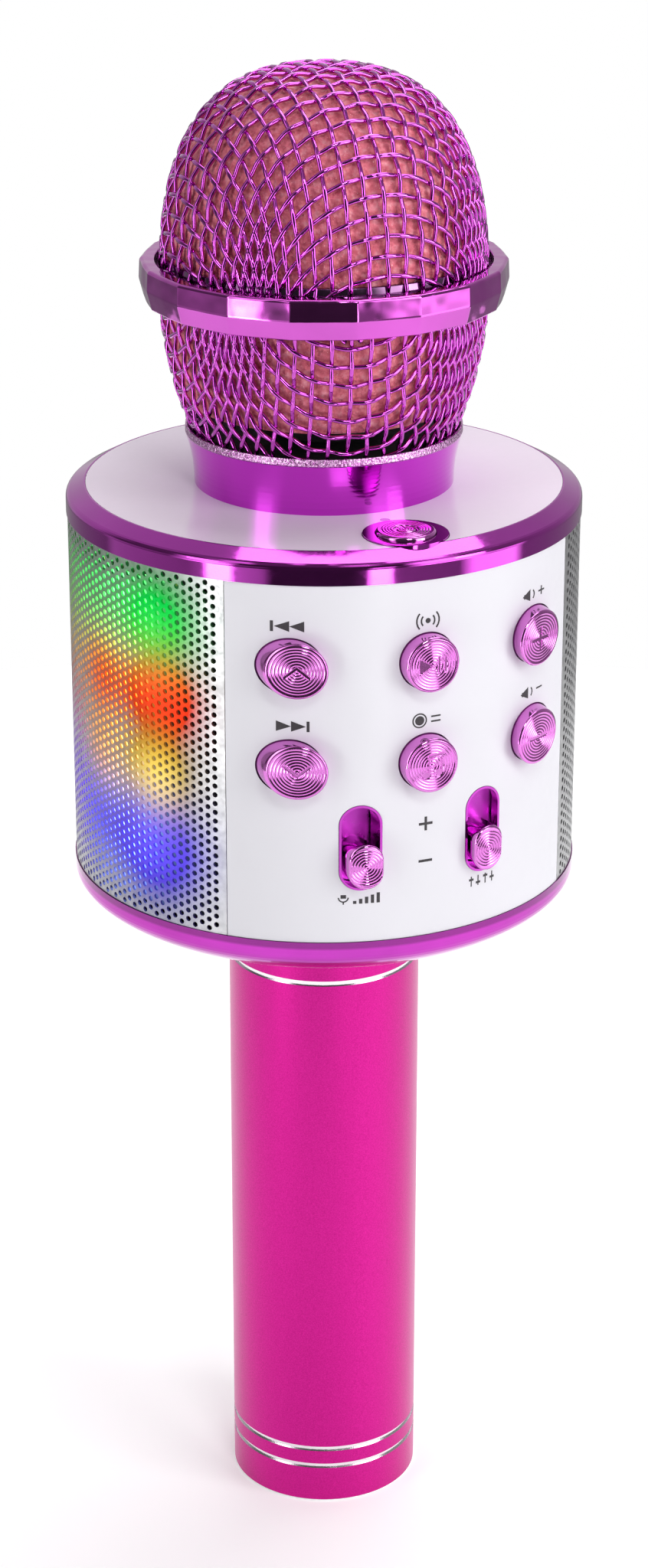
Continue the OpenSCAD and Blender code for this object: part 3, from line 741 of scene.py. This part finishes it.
def perforated(name, middle, look, node):
    """Sheet with staggered round holes, drawn flat as (arc length, height) and then bent."""
    low, high = GRILLE_LOW.z, GRILLE_HIGH.z
    row_h = (high - low) / HOLE_ROWS
    column_w = 2 * (GRILLE_HALF * DRUM_R - PLAIN_EDGE) / HOLE_COLUMNS
    flat, index, front = [], {}, []

    def vertex(u, z):
        spot = (round(u, 4), round(z, 4))
        if spot not in index:
            index[spot] = len(flat)
            flat.append((u, z))
        return index[spot]

    def plain_half(u, a, b):
        """Half a cell without a hole, where a staggered column meets the end of the sheet."""
        left, right = u - column_w / 2, u + column_w / 2
        front.append([vertex(*p) for p in ((left, a), (u, a), (right, a), (right, b), (u, b), (left, b))])

    def pierced(u, z):
        """A cell round its hole."""
        w, h = column_w / 2, row_h / 2
        border = [(w, 0), (w, h), (0, h), (-w, h), (-w, 0), (-w, -h), (0, -h), (w, -h)]
        outer = [vertex(u + x, z + y) for x, y in border]
        hole = []
        for k in range(HOLE_SIDES):
            a = 2 * math.pi * k / HOLE_SIDES
            hole.append(vertex(u + HOLE_R * math.cos(a), z + HOLE_R * math.sin(a)))
        for k in range(8):
            after = (k + 1) % 8
            front.append([outer[k], outer[after], hole[2 * after], hole[2 * k + 1], hole[2 * k]])

    for c in range(HOLE_COLUMNS):
        u = (c - HOLE_COLUMNS / 2 + 0.5) * column_w
        shifted = c % 2 == 1
        if shifted:
            plain_half(u, low, low + row_h / 2)
            plain_half(u, high - row_h / 2, high)
        for k in range(1 if shifted else 0, HOLE_ROWS):
            pierced(u, low + (k if shifted else k + 0.5) * row_h)
    for side in (-1, 1):
        edge = side * GRILLE_HALF * DRUM_R
        seam = side * HOLE_COLUMNS / 2 * column_w
        for k in range(2 * HOLE_ROWS):
            a, b = low + k * row_h / 2, low + (k + 1) * row_h / 2
            quad = [vertex(seam, a), vertex(edge, a), vertex(edge, b), vertex(seam, b)]
            front.append(quad if side > 0 else quad[::-1])

    sides = {pair for face in front for pair in zip(face, face[1:] + face[:1])}
    count = len(flat)
    faces = [tuple(f) for f in front] + [tuple(v + count for v in reversed(f)) for f in front]
    faces += [(b, a, a + count, b + count) for a, b in sorted(sides) if (b, a) not in sides]
    points = []
    for r in (DRUM_R, DRUM_R - SHEET_T):
        for u, z in flat:
            a = middle + u / DRUM_R
            points.append((r * math.cos(a), r * math.sin(a), z))
    piece(name, points, faces, look, slot="silver_grille", stands_for=[node], smooth=False)


perforated("perforated_left", math.pi, grille_metal("silver_grille_lit", True), "left_grille")
perforated("perforated_right", 0.0, SLOT_LOOKS["silver_grille"], "right_grille")


# ---------------------------------------------------------------- keys with ringed faces
KNOB_W = 5.3
KNOB_H = 7.4
# y of the two faces of a slider's carrier plate
PLATE_FRONT = -36.2
PLATE_BACK = -35.4
POWER_R = 4.6
KEY_CHAMFER = 0.32
# edges sharper than this many degrees stay crisp
CRISP = 42
RING_PITCH = 0.46
RING_DEPTH = 0.11
ICON_DEPTH = 0.18
ICON_SCALE = 1.25
ICON_EDGE = 0.08
FACE_COLUMNS = 176
FACE_ROWS_PER_RING = 9


# The engraved signs are signed distances in mm from their outlines, negative inside.


def stroke(x, z, a, b, width):
    """A straight stroke from a to b."""
    a, b = np.array(a, float), np.array(b, float)
    d = b - a
    t = np.clip(((x - a[0]) * d[0] + (z - a[1]) * d[1]) / max(d @ d, 1e-9), 0, 1)
    return np.hypot(x - a[0] - t * d[0], z - a[1] - t * d[1]) - width / 2


def strokes(x, z, width, *ends):
    """Several strokes together, each given by its two ends."""
    return np.minimum.reduce([stroke(x, z, a, b, width) for a, b in ends])


def chevron(up):
    def shape(x, z):
        tip, foot = 0.45 * up, -0.75 * up
        return strokes(x, z, 0.42, ((0, tip), (-1.35, foot)), ((0, tip), (1.35, foot)))
    return shape


def play_pause(x, z):
    foot_x, half = -1.9, 1.05
    slope = (x - foot_x) * 0.62
    arrow = np.maximum(foot_x - x, slope + np.abs(z) - half)
    bars = strokes(x, z, 0.34, *[((bar_x, -0.95), (bar_x, 0.95)) for bar_x in (0.75, 1.6)])
    return np.minimum(arrow, bars)


def note(x, z):
    heads = np.minimum(np.hypot(x + 0.85, z + 1.2), np.hypot(x - 0.85, z + 1.0)) - 0.5
    stems = strokes(x, z, 0.28, ((-0.42, -1.2), (-0.42, 1.2)), ((1.3, -1.0), (1.3, 1.4)))
    beam = stroke(x, z, (-0.42, 1.2), (1.3, 1.4), 0.42)
    return np.minimum.reduce([heads, stems, beam])


def plus(x, z):
    return strokes(x, z, 0.42, ((-1.3, 0), (1.3, 0)), ((0, -1.3), (0, 1.3)))


def minus(x, z):
    return stroke(x, z, (-1.3, 0), (1.3, 0), 0.42)


def power_mark(x, z):
    """A broken ring with an upright stroke."""
    ring = np.abs(np.hypot(x, z) - 1.35) - 0.2
    gap = stroke(x, z, (0, 0.6), (0, 2.2), 1.1)
    return np.minimum(np.maximum(ring, -gap), stroke(x, z, (0, 0.3), (0, 1.7), 0.34))


def relief(x, z, reach, icon):
    """Height of the ringed, engraved face at a place on it."""
    rho = np.hypot(x, z)
    rings = -RING_DEPTH * (1 - np.abs(np.sin(math.pi * rho / RING_PITCH)) ** 0.8)
    rings = rings * np.clip((reach - 0.2 - rho) / 0.1, 0, 1)
    if icon is None:
        return rings
    cut = np.clip(0.5 - icon(x / ICON_SCALE, z / ICON_SCALE) / ICON_EDGE, 0, 1)
    return rings * (1 - cut) - ICON_DEPTH * cut


def obround_reach(around, half_w, half_h):
    """Distance from the middle of an upright obround to its edge; equal halves make a circle."""
    straight = half_h - half_w
    side = half_w / np.maximum(np.abs(np.cos(around)), 1e-9)
    up = np.abs(np.sin(around))
    cap = straight * up + np.sqrt(np.maximum(half_w ** 2 - (straight * np.cos(around)) ** 2, 0))
    return np.where(side * up <= straight, side, cap)


def ringed_cap(name, node, half_w, half_h, root, place, icon):
    """A cap on the node's own body: place(x, depth, z, fixed) gives the points of a ring, where depth
    is below the face. The rings of the root are given as (radius, fixed place on the axis of travel)."""
    columns = FACE_COLUMNS
    around = np.linspace(0, 2 * math.pi, columns, endpoint=False)
    reach = obround_reach(around, half_w, half_h)
    rings = []

    def ring(r, depth, fixed=False):
        rings.append(place(r * np.cos(around), np.full(columns, depth), r * np.sin(around), fixed))

    for r, y in root:
        ring(reach * (r / half_w), y, True)
    ring(reach, KEY_CHAMFER + 0.02)
    ring(reach - 0.03, KEY_CHAMFER - 0.07)
    ring(reach - KEY_CHAMFER + 0.07, 0.03)
    face_h = half_h - KEY_CHAMFER
    steps = int(face_h / RING_PITCH * FACE_ROWS_PER_RING)
    for k in range(steps):
        r = (reach - KEY_CHAMFER) * (1 - k / steps)
        ring(r, -relief(r * np.cos(around), r * np.sin(around), face_h, icon))
    made = piece(name, np.vstack(rings), capped_faces(len(rings), columns), key_chrome_painted_light, body=node,
                 slot="magenta_chrome", stands_for=[node])
    keep_crisp(made)


def on_front(centre_x, centre_z):
    """Places points on the common cylinder of the keys and knobs; fixed ones give their own y."""
    def place(x, depth, z, fixed):
        y = depth if fixed else depth - np.sqrt(KEY_FACE_R ** 2 - (centre_x + x) ** 2)
        return np.stack([centre_x + x, y, centre_z + z], 1)
    return place


def key(node, icon):
    """Round key with its stem and the flange that stops it behind the panel."""
    low, high = box_mm(node)
    x0, z0 = (low.x + high.x) / 2, (low.z + high.z) / 2
    flange_r = (high.z - low.z) / 2
    flange_t = 0.8
    stem_r = 1.6
    r = flange_r - 1.0
    front = 0.3 - math.sqrt((DRUM_R - 2) ** 2 - (abs(x0) + flange_r) ** 2)
    root = [(stem_r, high.y), (stem_r, front + flange_t), (flange_r, front + flange_t), (flange_r, front),
            (r, front)]
    ringed_cap(node + "_cap", node, r, r, root, on_front(x0, z0), icon)


def knob(node):
    """Slider knob with its carrier plate and lever."""
    low, high = box_mm(node)
    x0 = (low.x + high.x) / 2
    z0 = (low.z + high.z) / 2
    half_w = KNOB_W / 2
    ringed_cap(node + "_knob", node, half_w, KNOB_H / 2, [(half_w - 0.4, PLATE_FRONT + 0.2)],
               on_front(x0, z0), None)
    columns = 64
    around = np.linspace(0, 2 * math.pi, columns, endpoint=False)
    edge = obround_reach(around, (high.x - low.x) / 2, (high.z - low.z) / 2)
    lever = obround_reach(around, 0.75, 1.0)
    outlines = [(lever, high.y), (lever, PLATE_BACK), (edge, PLATE_BACK), (edge, PLATE_FRONT),
                (edge * 0.02, PLATE_FRONT)]
    points = np.vstack([np.stack([x0 + r * np.cos(around), np.full(columns, y), z0 + r * np.sin(around)], 1)
                        for r, y in outlines])
    piece(node + "_carrier", points, capped_faces(len(outlines), columns), carrier_chrome, body=node,
          slot="magenta_chrome", smooth=False)


def power_cap(node):
    """Flat round key on top, with a flange under the boss."""
    low, high = box_mm(node)
    y0 = (low.y + high.y) / 2
    crown = high.z - 0.15
    flange_r = (high.x - low.x) / 2
    flange_top = low.z + 1

    def place(x, depth, y, fixed):
        z = depth if fixed else crown - depth
        return np.stack([x, y0 + y, z], 1)

    root = [(flange_r, low.z), (flange_r, flange_top), (POWER_R, flange_top)]
    ringed_cap(node + "_cap", node, POWER_R, POWER_R, root, place, power_mark)


def keep_crisp(made):
    """Smooth shading except over sharp edges."""
    mesh = made.data
    normals = {}
    for face in mesh.polygons:
        for edge in face.edge_keys:
            normals.setdefault(edge, []).append(face.normal.copy())
    limit = math.cos(math.radians(CRISP))
    sharp = []
    for edge in mesh.edges:
        pair = normals.get(tuple(sorted(edge.vertices)), [])
        sharp.append(len(pair) == 2 and pair[0].dot(pair[1]) < limit)
    attribute = mesh.attributes.get("sharp_edge") or mesh.attributes.new("sharp_edge", "BOOLEAN", "EDGE")
    attribute.data.foreach_set("value", sharp)


KEYS = {"prev_key": chevron(1), "next_key": chevron(-1), "play_key": play_pause, "record_key": note,
        "volume_up_key": plus, "volume_down_key": minus}
for node, icon in KEYS.items():
    key(node, icon)
for node in ("mic_volume_slider", "remix_slider"):
    knob(node)
power_cap("power_key")


# ---------------------------------------------------------------- printed marks on the panel
PRINT_R = DRUM_R + 0.03
PRINT_ROOT_R = DRUM_R - 0.02
PRINT_STEP = 0.4
UPPER_MARKS = 170.1
LOWER_MARKS = 154.1
SLIDER_MARKS = 125.5
PLUS_Z = 137.0
MINUS_Z = 130.8
KEY_X = 20.3
SLIDER_X = 10.3
FINE = 0.26
BOLD = 0.42


def ribbon(pairs):
    """A filled strip between paired (x, z) rails."""
    return [(np.array(a, float), np.array(b, float)) for a, b in pairs]


def line(a, b, width):
    """Straight mark from a to b, in steps that follow the curve of the panel."""
    a, b = np.array(a, float), np.array(b, float)
    along = (b - a) / np.linalg.norm(b - a)
    side = np.array([-along[1], along[0]]) * width / 2
    steps = max(2, int(np.linalg.norm(b - a) / PRINT_STEP) + 1)
    return ribbon([(a + (b - a) * t + side, a + (b - a) * t - side) for t in np.linspace(0, 1, steps)])


def wedge(tip, foot_x, half):
    """Triangle from its tip to an upright foot."""
    rails = []
    for t in np.linspace(0.02, 1, 6):
        x = tip + (foot_x - tip) * t
        rails.append(((x, half * t), (x, -half * t)))
    return ribbon(rails)


def dot(x, z, r):
    """Filled disc."""
    angles = np.linspace(0.15, math.pi - 0.15, 12)
    return ribbon([((x - r * math.cos(a), z + r * math.sin(a)),
                    (x - r * math.cos(a), z - r * math.sin(a))) for a in angles])


def arc(x, z, r, first, last, width):
    """Curved mark round (x, z) between two angles in degrees."""
    steps = max(6, int(abs(last - first) / 15))
    angles = np.radians(np.linspace(first, last, steps))
    return ribbon([((x + (r + width / 2) * math.cos(a), z + (r + width / 2) * math.sin(a)),
                    (x + (r - width / 2) * math.cos(a), z + (r - width / 2) * math.sin(a))) for a in angles])


def printed(name, x0, z0, strips):
    """Thin ink over the curved panel; each pair of rails has four points, two of them below the ink."""
    points, faces = [], []
    for strip in strips:
        start = len(points)
        for pair in strip:
            for x, z in pair:
                for r in (PRINT_R, PRINT_ROOT_R):
                    points.append((x0 + x, -math.sqrt(r * r - (x0 + x) ** 2), z0 + z))
        for k in range(len(strip) - 1):
            four = start + 4 * k
            for p, q in ((0, 2), (2, 3), (3, 1), (1, 0)):
                faces.append((four + q, four + p, four + 4 + p, four + 4 + q))
        last = start + 4 * (len(strip) - 1)
        faces += [(start, start + 2, start + 3, start + 1), (last + 1, last + 3, last + 2, last)]
    made = piece("print_" + name, points, faces, print_ink, smooth=False)
    modifier(made, "WELD", merge_threshold=1e-6)


def skip_mark(way):
    """A bar and two arrows; way is -1 for back and 1 for on."""
    return [line((2.4 * way, -0.85), (2.4 * way, 0.85), 0.4), wedge(2.1 * way, 0.1 * way, 0.85),
            wedge(0.1 * way, -1.9 * way, 0.85)]


def speaker_mark(sign):
    """A small loudspeaker with the marks of a sign beside it."""
    horn = wedge(-2.6, -0.9, 0.95)
    return [line((-2.3, 0), (-1.8, 0), 0.7), horn, arc(-1.0, 0, 1.0, -42, 42, 0.24)] + sign


search = [dot(0, 0, 0.42)] + [arc(0, 0, r, a - 42, a + 42, FINE) for r in (1.1, 1.85) for a in (0, 180)]
record = [dot(-1.2, 0, 0.75), arc(-1.2, 0, 1.1, 0, 360, 0.22)]
record += [line((0.7, z), (2.3, z), FINE) for z in (0.45, -0.35)]
minus_sign = line((1.0, 0.1), (2.4, 0.1), FINE)
plus_sign = line((1.7, -0.6), (1.7, 0.8), FINE)
bar = line((-1.15, 0), (1.15, 0), BOLD)
upright = line((0, -1.15), (0, 1.15), BOLD)
voice = [line((-2.6, 0.15), (-2.6, 0.75), 0.8), arc(-2.6, 0.3, 0.72, 180, 360, 0.2),
         line((-2.6, -0.42), (-2.6, -0.85), 0.2)]
voice += [line((0.9 * k, -0.8), (0.9 * k, 0.3 * k), 0.5) for k in range(-1, 4)]
effects = [line((x, -0.85), (x, 0.85), 0.2) for x in (-2.0, -0.7, 0.7, 2.0)]
effects += [line((x - 0.42, z), (x + 0.42, z), 0.36)
            for x, z in ((-2.0, 0.3), (-0.7, -0.35), (0.7, 0.45), (2.0, -0.1))]

printed("skip_back", -KEY_X, UPPER_MARKS, skip_mark(-1))
printed("skip_on", -KEY_X, LOWER_MARKS, skip_mark(1))
printed("search", 0, UPPER_MARKS, search)
printed("record", 0, LOWER_MARKS, record)
printed("louder", KEY_X, UPPER_MARKS, speaker_mark([minus_sign, plus_sign]))
printed("quieter", KEY_X, LOWER_MARKS, speaker_mark([minus_sign]))
printed("plus", 0, PLUS_Z, [bar, upright])
printed("minus", 0, MINUS_Z, [bar])
printed("voice", -SLIDER_X, SLIDER_MARKS, voice)
printed("effects", SLIDER_X, SLIDER_MARKS, effects)


# ---------------------------------------------------------------- floor, light and camera
VIEW_TURN = math.radians(-22.5)
CAMERA_FAR = 0.5403
CAMERA_HIGH = 0.3441
CAMERA_PITCH = math.radians(21.76)
CAMERA_LENS = 80.86
FLOOR_R = 0.42
FLOOR_GLOW = 0.22
ROOM_PEAK = 10.0


def around(turn, far, high):
    """A place at a turn from the camera's direction; 0 is the camera's side, positive is its right."""
    a = VIEW_TURN + turn
    return Vector((math.sin(a) * far, -math.cos(a) * far, high))


def softbox(name, turn, far, high, width, height, power):
    """Area lamp aimed at the middle of the object."""
    data = bpy.data.lights.new(name, "AREA")
    data.shape = "RECTANGLE"
    data.size = width
    data.size_y = height
    data.energy = power
    lamp = bpy.data.objects.new(name, data)
    lamp.location = around(math.radians(turn), far, high)
    lamp.rotation_euler = (Vector((0, 0, 0.15)) - lamp.location).to_track_quat("-Z", "Y").to_euler()
    bpy.context.scene.collection.objects.link(lamp)


softbox("left_softbox", -54, 0.80, 0.36, 0.20, 0.50, 0.6)
softbox("right_softbox", 66, 0.80, 0.36, 0.20, 0.50, 1.2)
softbox("top_softbox", 150, 0.35, 1.10, 0.8, 0.6, 5.4)
softbox("front_fill", 16, 0.75, 0.95, 0.24, 0.24, 2.6)

# Brightness of the room in reflections, by the turn from the camera in degrees: low down, at middle
# height and overhead
LOW_ROOM = ((-180, 0.3), (-112, 0.18), (-106, 0.45), (-62, 0.3), (-54, 0.5), (-52, 8.5), (-42, 8.5),
            (-40, 0.8), (-27, 0.5), (-23, 0.04), (13, 0.04), (19, 0.1), (21, 6.5), (29, 6.5), (31, 0.3),
            (62, 0.25), (70, 2.4), (92, 2.4), (98, 0.25), (180, 0.3))
MIDDLE_ROOM = ((-180, 0.6), (-120, 0.42), (-100, 0.1), (-70, 0.1), (-60, 1.8), (-46, 1.8), (-38, 0.05),
               (36, 0.05), (46, 3.6), (66, 3.6), (76, 0.15), (120, 0.3), (180, 0.6))
HIGH_ROOM = ((-180, 0.6), (-120, 0.42), (-85, 0.14), (-60, 0.14), (-56, 1.2), (-44, 1.2), (-40, 0.14),
             (8, 0.1), (18, 1.0), (25, 1.0), (35, 0.2), (110, 0.35), (180, 0.6))


def studio_world():
    """White to the camera; in reflections a room with bright panels and dark gaps around the object."""
    made = bpy.data.worlds.new("studio")
    made.use_nodes = True
    tree = made.node_tree
    link = tree.links.new
    backdrop = tree.nodes["Background"]
    backdrop.inputs["Color"].default_value = (1.0, 1.0, 1.0, 1)
    place = tree.nodes.new("ShaderNodeTexCoord")
    turn = tree.nodes.new("ShaderNodeMapping")
    turn.inputs["Rotation"].default_value = (0, 0, math.pi / 2 - VIEW_TURN)
    link(place.outputs["Generated"], turn.inputs["Vector"])
    radial = tree.nodes.new("ShaderNodeTexGradient")
    radial.gradient_type = "RADIAL"
    link(turn.outputs["Vector"], radial.inputs["Vector"])

    def room(stops):
        """One band of the room, from stops of turn and brightness."""
        ramp = tree.nodes.new("ShaderNodeValToRGB")
        elements = ramp.color_ramp.elements
        while len(elements) < len(stops):
            elements.new(0.5)
        for element, (degrees, value) in zip(elements, stops):
            element.position = (degrees + 180) / 360
            element.color = (value / ROOM_PEAK,) * 3 + (1,)
        link(radial.outputs["Fac"], ramp.inputs["Fac"])
        return ramp.outputs["Color"]

    axes = tree.nodes.new("ShaderNodeSeparateXYZ")
    link(place.outputs["Generated"], axes.inputs[0])

    def rising(below, above, start, end):
        """Goes over from one colour to another with the height of the direction."""
        rise = tree.nodes.new("ShaderNodeMapRange")
        rise.inputs["From Min"].default_value = start
        rise.inputs["From Max"].default_value = end
        link(axes.outputs["Z"], rise.inputs["Value"])
        blend = tree.nodes.new("ShaderNodeMixRGB")
        link(rise.outputs["Result"], blend.inputs["Fac"])
        link(below, blend.inputs["Color1"])
        link(above, blend.inputs["Color2"])
        return blend.outputs["Color"]

    lower = rising(room(LOW_ROOM), room(MIDDLE_ROOM), -0.2, -0.05)
    surround = rising(lower, room(HIGH_ROOM), 0.55, 0.8)
    reflected = tree.nodes.new("ShaderNodeBackground")
    reflected.inputs["Strength"].default_value = ROOM_PEAK
    link(surround, reflected.inputs["Color"])
    ray = tree.nodes.new("ShaderNodeLightPath")
    mixer = tree.nodes.new("ShaderNodeMixShader")
    link(ray.outputs["Is Camera Ray"], mixer.inputs["Fac"])
    link(reflected.outputs[0], mixer.inputs[1])
    link(backdrop.outputs[0], mixer.inputs[2])
    link(mixer.outputs[0], tree.nodes["World Output"].inputs["Surface"])
    return made


def studio_floor():
    """Pale round floor; it is small, so that reflections from below see the room."""
    look = Shader("studio_floor", Roughness=0.7, Emission_Color=(1, 1, 1, 1), Emission_Strength=FLOOR_GLOW)
    look.into(look.ramp(look.noise(3, 2), (0.3, (0.93,) * 3), (0.7, (0.96,) * 3)), "Base Color")
    mesh = bpy.data.meshes.new("floor")
    angles = [math.radians(a) for a in range(0, 360, 3)]
    rim = [(FLOOR_R * math.cos(a), FLOOR_R * math.sin(a), 0) for a in angles]
    mesh.from_pydata(rim, [], [tuple(range(len(rim)))])
    mesh.materials.append(look.material)
    floor = bpy.data.objects.new("floor", mesh)
    bpy.context.scene.collection.objects.link(floor)


def studio_camera():
    """Camera on the side of VIEW_TURN, pitched down."""
    data = bpy.data.cameras.new("camera")
    data.lens = CAMERA_LENS
    data.sensor_width = 36
    data.clip_start = 0.01
    camera = bpy.data.objects.new("camera", data)
    camera.location = around(0, CAMERA_FAR, CAMERA_HIGH)
    camera.rotation_euler = (math.pi / 2 - CAMERA_PITCH, 0, VIEW_TURN)
    bpy.context.scene.collection.objects.link(camera)
    bpy.context.scene.camera = camera


bpy.context.scene.world = studio_world()
bpy.context.scene.view_settings.view_transform = "Standard"
studio_floor()
studio_camera()
